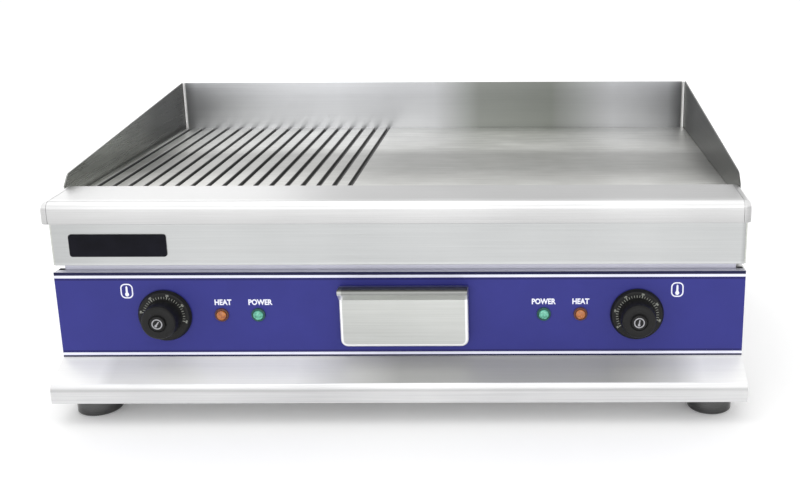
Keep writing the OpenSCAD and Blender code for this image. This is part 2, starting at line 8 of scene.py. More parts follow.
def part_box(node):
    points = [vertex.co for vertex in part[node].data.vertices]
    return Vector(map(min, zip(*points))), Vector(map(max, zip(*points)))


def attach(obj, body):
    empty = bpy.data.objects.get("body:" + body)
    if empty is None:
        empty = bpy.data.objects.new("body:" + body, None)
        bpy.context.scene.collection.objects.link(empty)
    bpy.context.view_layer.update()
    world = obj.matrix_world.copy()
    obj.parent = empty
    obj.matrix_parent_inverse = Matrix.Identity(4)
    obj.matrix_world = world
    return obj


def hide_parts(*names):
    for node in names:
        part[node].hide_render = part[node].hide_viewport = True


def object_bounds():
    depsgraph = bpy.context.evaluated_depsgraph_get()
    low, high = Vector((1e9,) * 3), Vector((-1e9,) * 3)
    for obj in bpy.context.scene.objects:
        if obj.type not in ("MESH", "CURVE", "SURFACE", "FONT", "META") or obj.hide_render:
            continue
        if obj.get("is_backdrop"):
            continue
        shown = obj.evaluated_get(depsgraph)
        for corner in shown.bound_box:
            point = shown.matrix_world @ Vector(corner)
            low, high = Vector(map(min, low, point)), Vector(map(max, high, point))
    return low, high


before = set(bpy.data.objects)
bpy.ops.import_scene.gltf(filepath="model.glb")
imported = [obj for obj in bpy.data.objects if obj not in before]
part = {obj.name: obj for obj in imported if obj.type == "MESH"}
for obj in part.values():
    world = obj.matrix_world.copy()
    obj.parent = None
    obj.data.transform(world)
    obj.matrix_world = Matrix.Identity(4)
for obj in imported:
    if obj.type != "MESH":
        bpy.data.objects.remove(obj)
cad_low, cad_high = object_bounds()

# Base tray: 1.5 mm stainless sheet folded into a shallow tray, with a sloped apron in front
# of the control panel. Its grain runs along the width, and its edges are dressed by hand.


def brushed_grain_group():
    """Brushing lines, faint handling clouds and the roughness they give a steel sheet."""
    g = bpy.data.node_groups.new("brushed_grain", "ShaderNodeTree")
    for label, kind, start in (("Stretch", "NodeSocketVector", (6.0, 900.0, 900.0)),
                               ("Roughness", "NodeSocketFloat", 0.3),
                               ("Spread", "NodeSocketFloat", 0.1),
                               ("Depth", "NodeSocketFloat", 0.1)):
        s = g.interface.new_socket(name=label, in_out="INPUT", socket_type=kind)
        s.default_value = start
    for label, kind in (("Streak", "NodeSocketFloat"), ("Cloud", "NodeSocketFloat"),
                        ("Roughness", "NodeSocketFloat"), ("Normal", "NodeSocketVector")):
        g.interface.new_socket(name=label, in_out="OUTPUT", socket_type=kind)
    n, ln = g.nodes, g.links
    gin, gout = n.new("NodeGroupInput"), n.new("NodeGroupOutput")
    where = n.new("ShaderNodeTexCoord")
    pull = n.new("ShaderNodeVectorMath")
    pull.operation = "MULTIPLY"
    ln.new(where.outputs["Object"], pull.inputs[0])
    ln.new(gin.outputs["Stretch"], pull.inputs[1])
    lines = n.new("ShaderNodeTexNoise")
    lines.inputs["Scale"].default_value = 1.0
    lines.inputs["Detail"].default_value = 5.0
    lines.inputs["Roughness"].default_value = 0.65
    ln.new(pull.outputs[0], lines.inputs["Vector"])
    cloud = n.new("ShaderNodeTexNoise")
    cloud.inputs["Scale"].default_value = 7.0
    cloud.inputs["Detail"].default_value = 3.0
    ln.new(where.outputs["Object"], cloud.inputs["Vector"])
    both = n.new("ShaderNodeMath")
    both.operation = "MULTIPLY_ADD"
    both.inputs[1].default_value = 0.6
    ln.new(cloud.outputs["Fac"], both.inputs[0])
    ln.new(lines.outputs["Fac"], both.inputs[2])
    off = n.new("ShaderNodeMath")
    off.operation = "SUBTRACT"
    off.inputs[1].default_value = 0.8
    ln.new(both.outputs[0], off.inputs[0])
    rough = n.new("ShaderNodeMath")
    rough.operation = "MULTIPLY_ADD"
    rough.use_clamp = True
    ln.new(off.outputs[0], rough.inputs[0])
    ln.new(gin.outputs["Spread"], rough.inputs[1])
    ln.new(gin.outputs["Roughness"], rough.inputs[2])
    bump = n.new("ShaderNodeBump")
    bump.inputs["Distance"].default_value = 0.0004
    ln.new(gin.outputs["Depth"], bump.inputs["Strength"])
    ln.new(lines.outputs["Fac"], bump.inputs["Height"])
    ln.new(lines.outputs["Fac"], gout.inputs["Streak"])
    ln.new(cloud.outputs["Fac"], gout.inputs["Cloud"])
    ln.new(rough.outputs[0], gout.inputs["Roughness"])
    ln.new(bump.outputs[0], gout.inputs["Normal"])
    return g


brushed = brushed_grain_group()


def two_tone(nodes, dark, light):
    """A ramp that swings between two tints over the middle of a noise pattern."""
    tint = nodes.new("ShaderNodeValToRGB")
    for end, at, colour in zip(tint.color_ramp.elements, (0.3, 0.7), (dark, light)):
        end.position = at
        end.color = (*colour, 1)
    return tint


def steel_sheet(name, dark, light, stretch, rough=0.3, spread=0.12, depth=0.12, metal=1.0):
    """Brushed stainless: the streaks swing the tint between dark and light."""
    m = bpy.data.materials.new(name)
    m.use_nodes = True
    n, ln = m.node_tree.nodes, m.node_tree.links
    skin = n["Principled BSDF"]
    skin.inputs["Metallic"].default_value = metal
    grain = n.new("ShaderNodeGroup")
    grain.node_tree = brushed
    grain.inputs["Stretch"].default_value = stretch
    grain.inputs["Roughness"].default_value = rough
    grain.inputs["Spread"].default_value = spread
    grain.inputs["Depth"].default_value = depth
    mean = n.new("ShaderNodeMath")
    mean.name = "tone"
    mean.operation = "MULTIPLY_ADD"
    mean.inputs[1].default_value = 0.55
    half = n.new("ShaderNodeMath")
    half.operation = "MULTIPLY"
    half.inputs[1].default_value = 0.45
    ln.new(grain.outputs["Cloud"], half.inputs[0])
    ln.new(grain.outputs["Streak"], mean.inputs[0])
    ln.new(half.outputs[0], mean.inputs[2])
    tint = two_tone(n, dark, light)
    tint.name = "tint"
    ln.new(mean.outputs[0], tint.inputs["Fac"])
    ln.new(tint.outputs["Color"], skin.inputs["Base Color"])
    ln.new(grain.outputs["Roughness"], skin.inputs["Roughness"])
    ln.new(grain.outputs["Normal"], skin.inputs["Normal"])
    return m


def level_between(m, axis, start, stop):
    """How far a point lies from start to stop along one of the object's axes, 0 to 1."""
    n, ln = m.node_tree.nodes, m.node_tree.links
    where = n.new("ShaderNodeTexCoord")
    split = n.new("ShaderNodeSeparateXYZ")
    ln.new(where.outputs["Object"], split.inputs[0])
    level = n.new("ShaderNodeMapRange")
    level.inputs["From Min"].default_value = start
    level.inputs["From Max"].default_value = stop
    ln.new(split.outputs[axis], level.inputs["Value"])
    return level


def painted_light_along(m, axis, stops):
    """Soft bands of painted light and shade across a finish: each stop is a place in metres on one
    axis and a grey.
    """
    n, ln = m.node_tree.nodes, m.node_tree.links
    skin = n["Principled BSDF"]
    tint = skin.inputs["Base Color"].links[0].from_socket
    start, stop = stops[0][0], stops[-1][0]
    level = level_between(m, axis, start, stop)
    ramp = n.new("ShaderNodeValToRGB")
    ends = ramp.color_ramp.elements
    for i, (at, grey) in enumerate(stops):
        place = (at - start) / (stop - start)
        e = ends[0] if i == 0 else ends[-1] if i == len(stops) - 1 else ends.new(place)
        e.position = place
        e.color = (grey, grey, grey, 1) if isinstance(grey, float) else (*grey, 1)
    ln.new(level.outputs["Result"], ramp.inputs["Fac"])
    mix = n.new("ShaderNodeMix")
    mix.data_type = "RGBA"
    mix.blend_type = "MULTIPLY"
    mix.clamp_result = True
    mix.inputs[0].default_value = 1.0
    ln.new(tint, mix.inputs[6])
    ln.new(ramp.outputs["Color"], mix.inputs[7])
    ln.new(mix.outputs[2], skin.inputs["Base Color"])
    return m


def finished_piece(bm, name, finishes, sharp=None):
    """The modelled mesh as an object at the origin, smooth up to its sharp angle if given."""
    mesh = bpy.data.meshes.new(name)
    bm.to_mesh(mesh)
    bm.free()
    if sharp:
        mesh.shade_smooth()
        mesh.set_sharp_from_angle(angle=math.radians(sharp))
    piece = bpy.data.objects.new(name, mesh)
    bpy.context.scene.collection.objects.link(piece)
    for finish in finishes:
        mesh.materials.append(finish)
    return piece


def dressed_copy(node, name, radius, finish, segments=2, sharpest=35.0, bend=None, keep_x=None,
                 edge_finish=None):
    """The CAD piece with its sharp edges taken off, as a fitter does with a file."""
    bm = bmesh.new()
    bm.from_mesh(part[node].data)
    bmesh.ops.remove_doubles(bm, verts=bm.verts, dist=2e-6)
    bmesh.ops.dissolve_limit(bm, angle_limit=math.radians(0.6), verts=bm.verts, edges=bm.edges)
    for cut in (() if keep_x is None else (keep_x, -keep_x)):
        spare = bmesh.ops.bisect_plane(bm, geom=bm.verts[:] + bm.edges[:] + bm.faces[:],
                                       plane_co=(cut, 0, 0), plane_no=(cut, 0, 0),
                                       clear_outer=True, dist=1e-7)
        bmesh.ops.edgeloop_fill(bm, edges=[e for e in spare["geom_cut"]
                                           if isinstance(e, bmesh.types.BMEdge)])
    bm.normal_update()
    if bend:
        picks, reach = bend
        bmesh.ops.bevel(bm, geom=[e for e in bm.edges if picks(e)], offset=reach,
                        offset_type="OFFSET", segments=6, profile=0.5, affect="EDGES",
                        clamp_overlap=True, material=-1)
        bm.normal_update()
    keen = [e for e in bm.edges if len(e.link_faces) == 2
            and math.degrees(e.calc_face_angle(0.0)) > sharpest]
    rim = bmesh.ops.bevel(bm, geom=keen, offset=radius, offset_type="OFFSET", segments=segments,
                          profile=0.5, affect="EDGES", clamp_overlap=True, material=-1)
    for f in rim["faces"] if edge_finish else ():
        f.material_index = 1
    bmesh.ops.dissolve_degenerate(bm, dist=1e-6, edges=bm.edges)
    bmesh.ops.recalc_face_normals(bm, faces=bm.faces)
    piece = finished_piece(bm, name, (finish, edge_finish) if edge_finish else (finish,), 32)
    even = piece.modifiers.new("even", "WEIGHTED_NORMAL")
    even.keep_sharp = True
    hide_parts(node)
    return piece


along_x = (7.0, 820.0, 820.0)
along_y = (820.0, 7.0, 820.0)
tray_steel = steel_sheet("tray_steel", (0.55, 0.55, 0.555), (0.76, 0.76, 0.76), along_x, 0.36,
                         metal=0.55)
# Painted light on the tray's front: a painted highlight on the upper part of the rounded fold, a
# painted shade line below it, and slightly darker towards the floor.
painted_light_along(tray_steel, "Z", [(0.0, 0.95), (0.0370, 1.0), (0.0390, 0.80), (0.0410, 0.85),
                               (0.0430, 1.35), (0.0460, 1.35)])
apron_steel = steel_sheet("apron_steel", (0.90, 0.90, 0.88), (1.0, 1.0, 0.98), along_x, 0.34,
                          metal=0.15)
# Painted reflections across the apron: bright at both ends and over the left third, with a broad
# painted dark reflection from the middle to the right.
painted_light_along(apron_steel, "X", [(-0.37, 1.0), (-0.318, 1.0), (-0.304, 0.85), (-0.20, 0.97),
                                (-0.11, 0.97), (-0.055, 0.66), (0.0, 0.42), (0.22, 0.42),
                                (0.29, 0.68), (0.32, 1.0), (0.37, 1.0)])
apron_fold, fold_reach, panel_foot_y = 0.0440, 0.0045, -0.2100


def outer_fold(e):
    """The long outside edge between the tray's upright front and its apron."""
    return all(abs(v.co.z - apron_fold) < 0.0006 and v.co.y < cad_low.y + 0.0008
               for v in e.verts)


tray = dressed_copy("base_tray", "base_tray_dressed", 0.0006, tray_steel,
                    bend=(outer_fold, fold_reach))
tray.data.materials.append(apron_steel)
for face in tray.data.polygons:
    slopes_forward = face.normal.z > 0.87 and face.normal.y < -0.3
    if slopes_forward and face.center.y < panel_foot_y:
        face.material_index = 1
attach(tray, "chassis")

# Levelling feet: turned steel cups on M12 studs, screwed up into nuts welded inside the tray.
# Their polished skirts keep the fine lines of the lathe; their dark tint is a painted reflection.


def turned_piece(name, profile, x, y, z, axis, finish, steps=72):
    """A closed outline of (radius, out) points spun once round its own axis."""
    bm = bmesh.new()
    ring = [bm.verts.new((r, 0.0, h)) for r, h in profile]
    joined = list(zip(ring, ring[1:])) + ([(ring[-1], ring[0])] if profile[0][0] > 0 else [])
    edges = [bm.edges.new(pair) for pair in joined]
    bmesh.ops.spin(bm, geom=ring + edges, cent=(0, 0, 0), axis=(0, 0, 1), dvec=(0, 0, 0),
                   angle=math.tau, steps=steps, use_merge=True)
    bmesh.ops.remove_doubles(bm, verts=bm.verts, dist=1e-6)
    bmesh.ops.recalc_face_normals(bm, faces=bm.faces)
    turn = Vector((0, 0, 1)).rotation_difference(Vector(axis)).to_matrix().to_4x4()
    bmesh.ops.transform(bm, matrix=Matrix.Translation((x, y, z)) @ turn, verts=bm.verts)
    return finished_piece(bm, name, (finish,), 30)


def repaint(finish, *nodes):
    """Give carried-over pieces their finish."""
    for node in nodes:
        part[node].data.materials.clear()
        part[node].data.materials.append(finish)


# Painted reflection: the polished cups are tinted near black in place of the dark surroundings they
# would mirror.
foot_steel = steel_sheet("foot_steel", (0.06, 0.06, 0.06), (0.14, 0.14, 0.14),
                         (60.0, 60.0, 2600.0), 0.16, 0.1, 0.2)
zinc = steel_sheet("zinc_plate", (0.55, 0.55, 0.52), (0.74, 0.74, 0.70),
                   (240.0, 240.0, 240.0), 0.32, 0.15, 0.1)
for corner in ("front_left", "front_right", "rear_left", "rear_right"):
    low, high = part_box("foot_" + corner)
    mid = (low + high) / 2
    r, h = (high.x - low.x) / 2, high.z
    cup = turned_piece("levelling_cup_" + corner,
                       [(0, 0), (r - 0.0022, 0), (r - 0.0008, 0.0004), (r, 0.0014),
                        (r, h - 0.0036), (r - 0.0012, h - 0.0012), (r - 0.003, h - 0.0002),
                        (0.0062, h), (0, h)],
                       mid.x, mid.y, 0.0, (0, 0, 1), foot_steel)
    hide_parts("foot_" + corner)
    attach(cup, "levelling_foot_" + corner)
    repaint(zinc, "stud_" + corner)
repaint(zinc, "foot_weld_nuts")

# Side and rear panels: brushed sheet with vent slots, standing on the tray's upturned edge.
# The neck frame inside them carries the deck and shows as a narrow step under it.
body_dark, body_light = (0.56, 0.56, 0.57), (0.80, 0.80, 0.80)
panel_steel = steel_sheet("panel_steel", body_dark, body_light, along_y, 0.33)
rear_steel = steel_sheet("rear_steel", body_dark, body_light, along_x, 0.33)
# Painted reflection: the neck steel, also used for the control panel, is given a bluish cast from
# the blue film just below it.
neck_steel = steel_sheet("neck_steel", (0.56, 0.56, 0.64), (0.68, 0.68, 0.77), along_x, 0.45,
                         metal=0.5)
for node, name, finish in (("left_side_panel", "side_panel_left", panel_steel),
                           ("right_side_panel", "side_panel_right", panel_steel),
                           ("rear_panel", "rear_panel_dressed", rear_steel),
                           ("neck_frame", "neck_frame_dressed", neck_steel)):
    sheet = dressed_copy(node, name, 0.0004, finish)
    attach(sheet, "chassis")

# Inside: heat shield, ceramic fibre pad, tubular elements held to the plate by clamp bars,
# thermostats with copper capillaries, drawer runners and the terminal block.


def plain_finish(name, dark, light, grain, rough, depth=0.2, metal=0.0):
    """A cast, moulded or felted surface: soft mottling with a fine tooth."""
    m = bpy.data.materials.new(name)
    m.use_nodes = True
    n, ln = m.node_tree.nodes, m.node_tree.links
    skin = n["Principled BSDF"]
    skin.inputs["Metallic"].default_value = metal
    where = n.new("ShaderNodeTexCoord")
    tooth = n.new("ShaderNodeTexNoise")
    tooth.inputs["Scale"].default_value = grain
    tooth.inputs["Detail"].default_value = 6.0
    ln.new(where.outputs["Object"], tooth.inputs["Vector"])
    tint = two_tone(n, dark, light)
    tint.name = "tint"
    ln.new(tooth.outputs["Fac"], tint.inputs["Fac"])
    ln.new(tint.outputs["Color"], skin.inputs["Base Color"])
    polish = n.new("ShaderNodeMapRange")
    polish.inputs["To Min"].default_value = rough - 0.06
    polish.inputs["To Max"].default_value = rough + 0.06
    ln.new(tooth.outputs["Fac"], polish.inputs["Value"])
    ln.new(polish.outputs["Result"], skin.inputs["Roughness"])
    bump = n.new("ShaderNodeBump")
    bump.inputs["Distance"].default_value = 0.0003
    bump.inputs["Strength"].default_value = depth
    ln.new(tooth.outputs["Fac"], bump.inputs["Height"])
    ln.new(bump.outputs[0], skin.inputs["Normal"])
    return m


inner_steel = steel_sheet("inner_steel", (0.50, 0.50, 0.50), (0.70, 0.70, 0.70), along_y, 0.4)
fibre = plain_finish("ceramic_fibre", (0.72, 0.70, 0.63), (0.88, 0.87, 0.82), 900.0, 0.9, 0.6)
sheath = plain_finish("element_sheath", (0.10, 0.08, 0.07), (0.26, 0.21, 0.18), 260.0, 0.5,
                      0.3, 0.8)
copper = plain_finish("copper_tube", (0.52, 0.24, 0.13), (0.76, 0.42, 0.26), 300.0, 0.35,
                      0.1, 1.0)
ceramic = plain_finish("terminal_plastic", (0.70, 0.69, 0.63), (0.82, 0.81, 0.76), 700.0, 0.55)
brass = plain_finish("turned_brass", (0.52, 0.36, 0.13), (0.76, 0.58, 0.26), 500.0, 0.3,
                     0.1, 1.0)
repaint(inner_steel, "heat_shield", "element_clamps", "runner_left", "runner_right",
        "drain_spout")
repaint(fibre, "insulation_pad")
repaint(sheath, "heating_element_left", "heating_element_right")
repaint(copper, "capillary_left", "capillary_right")
repaint(neck_steel, "control_panel")
repaint(zinc, "clamp_nuts", "plate_studs", "thermostat_screws", "thermostat_left",
        "thermostat_right", "shaft_left", "shaft_right")
repaint(ceramic, "terminal_block")
repaint(brass, "equipotential_stud", "equipotential_nut")

# Deck: the front lip is a folded sheet with a rounded nose and welded end caps, and carries
# on down as the fascia. Behind it the grease trough runs the width of the plate.
lip_steel = steel_sheet("lip_steel", (0.51, 0.51, 0.51), (0.645, 0.645, 0.645), along_x, 0.34)
# Painted light on the lip: a painted highlight along the rounded nose, the top a little darker, and
# the face darker towards its foot.
painted_light_along(lip_steel, "Z", [(0.2130, 0.86), (0.2150, 0.90), (0.2250, 1.0), (0.2305, 1.05),
                              (0.2325, 1.5), (0.2368, 1.5), (0.2377, 0.85)])
# Dark lines at the welded end-cap seams: a real joint, deepened on the right by painted shade,
# which also darkens the right end cap.
painted_light_along(lip_steel, "X", [(-0.37, 1.0), (-0.3570, 1.0), (-0.3566, 0.85), (-0.3562, 1.0),
                              (0.3562, 1.0), (0.3566, 0.65), (0.3570, 0.90), (0.37, 0.82)])
fascia_steel = steel_sheet("fascia_steel", (0.475, 0.485, 0.485), (0.57, 0.58, 0.58), along_x, 0.30)
# Painted shade on the fascia's ends: the left end a little darker, and on the right a dark line at
# the seam, a real joint deepened by painted shade, with a darker end beyond it.
painted_light_along(fascia_steel, "X", [(-0.37, 0.9), (-0.30, 1.0), (0.3598, 1.0), (0.3602, 0.55),
                                 (0.3607, 0.82), (0.37, 0.80)])
# A painted highlight on the bottom hem, and painted shade across the top under the lip's overhang.
painted_light_along(fascia_steel, "Z", [(0.1640, 1.15), (0.1662, 1.1), (0.1676, 0.98), (0.1900, 0.97),
                                 (0.2100, 0.95), (0.2145, 0.85)])
seam = 0.3567
lip_low, lip_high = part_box("front_bullnose")
lip = dressed_copy("front_bullnose", "front_lip", 0.0005, lip_steel, keep_x=seam - 0.0001)
fascia = dressed_copy("front_fascia", "fascia_sheet", 0.0006, fascia_steel)
trough = dressed_copy("grease_trough", "trough_sheet", 0.0003, lip_steel)
lip_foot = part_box("front_fascia")[1].z
nose = [(lip_low.y, lip_foot + 0.0003), (lip_low.y + 0.0003, lip_foot), (lip_high.y, lip_foot),
        (lip_high.y, lip_high.z - 0.0003), (lip_high.y - 0.0004, lip_high.z)]
nose += [(lip_low.y + 0.008 - 0.008 * math.sin(math.radians(10 * i)),
          lip_high.z - 0.0095 + 0.008 * math.cos(math.radians(10 * i))) for i in range(10)]
end_run = 0.0072
lip_deep, lip_tall = lip_high.y - lip_low.y, lip_high.z - lip_foot
for side, sx in (("left", -1), ("right", 1)):
    bm = bmesh.new()
    end = bm.faces.new([bm.verts.new((sx * seam, py, pz)) for py, pz in nose])
    was_x, was_y, was_z = seam, 1.0, 1.0
    for i in range(1, 10):
        turn = math.radians(10 * i)
        fade = end_run * (1 - math.cos(turn))
        x = lip_high.x - end_run * (1 - math.sin(turn))
        deep, tall = 1 - fade / lip_deep, 1 - fade / lip_tall
        grown = bmesh.ops.extrude_face_region(bm, geom=[end])["geom"]
        verts = [v for v in grown if isinstance(v, bmesh.types.BMVert)]
        if i > 1:
            bmesh.ops.delete(bm, geom=[end], context="FACES_ONLY")
        end = [f for f in grown if isinstance(f, bmesh.types.BMFace)][0]
        bmesh.ops.scale(bm, vec=(1, deep / was_y, tall / was_z), verts=verts,
                        space=Matrix.Translation((0, -lip_high.y, -lip_foot)))
        bmesh.ops.translate(bm, vec=(sx * (x - was_x), 0, 0), verts=verts)
        was_x, was_y, was_z = x, deep, tall
    bmesh.ops.recalc_face_normals(bm, faces=bm.faces)
    cap = finished_piece(bm, "lip_end_" + side, (lip_steel,), 32)
    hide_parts("front_bullnose")
    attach(cap, "chassis")
for sheet in (lip, fascia, trough):
    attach(sheet, "chassis")

# Badge: a blank gloss black plate with rounded edges, moulded in plastic and bonded to the
# left end of the fascia.
badge_black = plain_finish("badge_black", (0.003, 0.003, 0.006), (0.006, 0.006, 0.011), 60.0,
                           0.22, 0.02)
badge_black.node_tree.nodes["Principled BSDF"].inputs["Specular IOR Level"].default_value = 0.10
badge = dressed_copy("name_badge", "badge_blank", 0.0005, badge_black, 3)
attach(badge, "chassis")

# Griddle plate: 10 mm machined steel, smooth on the right and ribbed on the left. The grain
# of grinding runs along its width, under the cloudy bloom of seasoning and scraping.


def griddle_finish():
    """Ground steel with a mottled bloom, with painted shade down in the grooves and painted light
    along its depth.
    """
    m = steel_sheet("griddle_steel", (0.38, 0.38, 0.365), (0.64, 0.64, 0.622),
                    (16.0, 330.0, 330.0), 0.42, 0.16, 0.25)
    n, ln = m.node_tree.nodes, m.node_tree.links
    skin = n["Principled BSDF"]
    where = n.new("ShaderNodeTexCoord")
    bloom = n.new("ShaderNodeTexNoise")
    bloom.inputs["Scale"].default_value = 16.0
    bloom.inputs["Detail"].default_value = 8.0
    bloom.inputs["Roughness"].default_value = 0.62
    ln.new(where.outputs["Object"], bloom.inputs["Vector"])
    shade = n.new("ShaderNodeMapRange")
    shade.inputs["From Min"].default_value = 0.35
    shade.inputs["From Max"].default_value = 0.65
    shade.inputs["To Min"].default_value = 0.0
    shade.inputs["To Max"].default_value = 0.35
    ln.new(bloom.outputs["Fac"], shade.inputs["Value"])
    stain = n.new("ShaderNodeMix")
    stain.data_type = "RGBA"
    stain.blend_type = "MULTIPLY"
    ln.new(shade.outputs["Result"], stain.inputs[0])
    ln.new(n["tint"].outputs["Color"], stain.inputs[6])
    stain.inputs[7].default_value = (0.72, 0.72, 0.70, 1)
    ln.new(stain.outputs[2], skin.inputs["Base Color"])
    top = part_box("griddle_plate")[1].z
    # Painted shade down in the grooves.
    painted_light_along(m, "Z", [(top - 0.0042, 0.13), (top - 0.0009, 0.27), (top - 0.0002, 1.0),
                          (top + 0.001, 1.0)])
    # Painted light across the plate: lighter towards the front and rear, darker across the middle.
    painted_light_along(m, "Y", [(-0.135, 1.38), (-0.10, 1.2), (-0.02, 0.77), (0.06, 0.84),
                          (0.10, 1.4), (0.20, 1.6), (0.24, 1.3)])
    return m


griddle_steel = griddle_finish()
plate = dressed_copy("griddle_plate", "plate_machined", 0.0004, griddle_steel)
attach(plate, "chassis")

# Splash and guards: 2 mm sheet standing round three sides of the plate, welded at the rear
# corners. The guards slope down to the front and end in a short knee on the lip.
splash_steel = steel_sheet("splash_steel", (0.84, 0.85, 0.88), (0.94, 0.95, 0.98), along_x,
                           0.30, 0.08, 0.10)
# Painted reflections across the splash's face: lighter on the left, a broad dark painted reflection
# from the middle to the right, and at each welded corner a painted highlight with a line of painted
# shade just inside it.
painted_light_along(splash_steel, "X", [(-0.3640, (1.6, 1.6, 1.5)), (-0.3606, (1.6, 1.6, 1.5)),
                                 (-0.3602, 0.55), (-0.345, 0.85), (-0.14, 0.96), (-0.06, 0.76),
                                 (0.0, 0.68), (0.065, (0.32, 0.33, 0.30)),
                                 (0.17, (0.27, 0.28, 0.25)), (0.26, 0.60), (0.34, 0.55),
                                 (0.3602, 0.22), (0.3606, (1.6, 1.6, 1.5)),
                                 (0.364, (1.6, 1.6, 1.5))])
# Painted shade: the guards' inner faces are tinted near black for the dark reflections they show,
# and the right guard gets a darker shaded copy.
guard_steel = steel_sheet("guard_steel", (0.12, 0.125, 0.115), (0.20, 0.205, 0.19), along_y,
                          0.28, 0.1, 0.15)


def plain_far_face(m, axis, at, past):
    """The sheet's outer face keeps the even tint of the body panels, without the painted light and
    shade of its inner face.
    """
    n, ln = m.node_tree.nodes, m.node_tree.links
    skin = n["Principled BSDF"]
    near_tint = skin.inputs["Base Color"].links[0].from_socket
    far = level_between(m, axis, at, past)
    tint = two_tone(n, body_dark, body_light)
    ln.new(n["tone"].outputs[0], tint.inputs["Fac"])
    mix = n.new("ShaderNodeMix")
    mix.data_type = "RGBA"
    ln.new(far.outputs["Result"], mix.inputs[0])
    ln.new(near_tint, mix.inputs[6])
    ln.new(tint.outputs["Color"], mix.inputs[7])
    ln.new(mix.outputs[2], skin.inputs["Base Color"])


splash_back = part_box("back_splash")[1].y
plain_far_face(splash_steel, "Y", splash_back - 0.0007, splash_back - 0.0004)
splash = dressed_copy("back_splash", "splash_sheet", 0.0005, splash_steel)
right_guard_shade = steel_sheet("guard_steel_right_shaded", (0.055, 0.058, 0.052), (0.10, 0.104, 0.094),
                         along_y, 0.32, 0.1, 0.15)
# Painted light along the guards: much lighter at the front edge and darker towards the rear.
painted_light_along(guard_steel, "Y", [(-0.215, 3.5), (-0.208, 3.5), (-0.2060, 2.1), (-0.05, 2.0),
                                (0.06, 1.05), (0.12, 0.45), (0.24, 0.30)])
painted_light_along(right_guard_shade, "Y", [(-0.215, 7.0), (-0.208, 7.0), (-0.2060, 0.85), (-0.10, 0.78),
                               (0.05, 0.42), (0.24, 0.58)])
guard_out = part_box("right_splash_guard")[1].x
plain_far_face(guard_steel, "X", -guard_out + 0.0007, -guard_out + 0.0004)
plain_far_face(right_guard_shade, "X", guard_out - 0.0007, guard_out - 0.0004)
# Painted shade on the guards' bevelled edges, with painted light at their front ends.
guard_edge_shade = steel_sheet("guard_edge", (0.10, 0.10, 0.10), (0.16, 0.16, 0.16), along_y, 0.35)
painted_light_along(guard_edge_shade, "Y", [(-0.215, 4.0), (-0.2085, 4.0), (-0.2060, 1.0), (0.24, 0.8)])
guard_l = dressed_copy("left_splash_guard", "guard_sheet_left", 0.0005, guard_steel,
                       edge_finish=guard_edge_shade)
guard_r = dressed_copy("right_splash_guard", "guard_sheet_right", 0.0005, right_guard_shade,
                       edge_finish=guard_edge_shade)
for sheet in (splash, guard_l, guard_r):
    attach(sheet, "chassis")

# Control panel overlay: a printed blue film with navy edge bands and white pinstripes,
# stuck over the steel panel. The print's lines follow the panel's height.


def blue_print():
    """The printed film: blue between two white pinstripes, with navy at its edges."""
    low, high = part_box("panel_overlay")
    m = bpy.data.materials.new("blue_print")
    m.use_nodes = True
    n, ln = m.node_tree.nodes, m.node_tree.links
    skin = n["Principled BSDF"]
    skin.inputs["Roughness"].default_value = 0.42
    skin.inputs["Specular IOR Level"].default_value = 0.22
    where = n.new("ShaderNodeTexCoord")
    level = level_between(m, "Z", low.z, high.z)
    bands = n.new("ShaderNodeValToRGB")
    bands.color_ramp.interpolation = "CONSTANT"
    navy, soft = (0.008, 0.009, 0.050, 1), (0.020, 0.019, 0.130, 1)
    white, blue = (0.80, 0.81, 0.95, 1), (0.033, 0.035, 0.225, 1)
    stops = bands.color_ramp.elements
    stops[0].position, stops[0].color = 0.0, navy
    stops[1].position, stops[1].color = 0.018, white
    for at, c in ((0.048, soft), (0.075, blue), (0.904, soft), (0.932, white), (0.961, navy)):
        e = stops.new(at)
        e.color = c
    ln.new(level.outputs["Result"], bands.inputs["Fac"])
    mottle = n.new("ShaderNodeTexNoise")
    mottle.inputs["Scale"].default_value = 24.0
    mottle.inputs["Detail"].default_value = 4.0
    ln.new(where.outputs["Object"], mottle.inputs["Vector"])
    lift = n.new("ShaderNodeMapRange")
    lift.inputs["To Min"].default_value = 0.88
    lift.inputs["To Max"].default_value = 1.10
    ln.new(mottle.outputs["Fac"], lift.inputs["Value"])
    print_tone = n.new("ShaderNodeVectorMath")
    print_tone.operation = "SCALE"
    ln.new(bands.outputs["Color"], print_tone.inputs[0])
    ln.new(lift.outputs["Result"], print_tone.inputs["Scale"])
    ln.new(print_tone.outputs[0], skin.inputs["Base Color"])
    peel = n.new("ShaderNodeTexNoise")
    peel.inputs["Scale"].default_value = 1400.0
    ln.new(where.outputs["Object"], peel.inputs["Vector"])
    bump = n.new("ShaderNodeBump")
    bump.inputs["Distance"].default_value = 0.0001
    bump.inputs["Strength"].default_value = 0.15
    ln.new(peel.outputs["Fac"], bump.inputs["Height"])
    ln.new(bump.outputs[0], skin.inputs["Normal"])
    return m


repaint(blue_print(), "panel_overlay")
film_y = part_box("panel_overlay")[0].y

# Indicator lamps: snap-in lamps with a flange and a raised prismatic lens, amber for
# heating and green for power.


def lens_plastic(name, edge, core):
    """Tinted lens plastic with a cut pattern of small cells."""
    m = bpy.data.materials.new(name)
    m.use_nodes = True
    n, ln = m.node_tree.nodes, m.node_tree.links
    skin = n["Principled BSDF"]
    skin.inputs["Roughness"].default_value = 0.14
    skin.inputs["Coat Weight"].default_value = 0.6
    skin.inputs["Emission Strength"].default_value = 0.12
    where = n.new("ShaderNodeTexCoord")
    cells = n.new("ShaderNodeTexVoronoi")
    cells.inputs["Scale"].default_value = 420.0
    ln.new(where.outputs["Object"], cells.inputs["Vector"])
    tint = n.new("ShaderNodeValToRGB")
    tint.color_ramp.elements[0].color = (*core, 1)
    tint.color_ramp.elements[1].color = (*edge, 1)
    ln.new(cells.outputs["Distance"], tint.inputs["Fac"])
    ln.new(tint.outputs["Color"], skin.inputs["Base Color"])
    ln.new(tint.outputs["Color"], skin.inputs["Emission Color"])
    return m


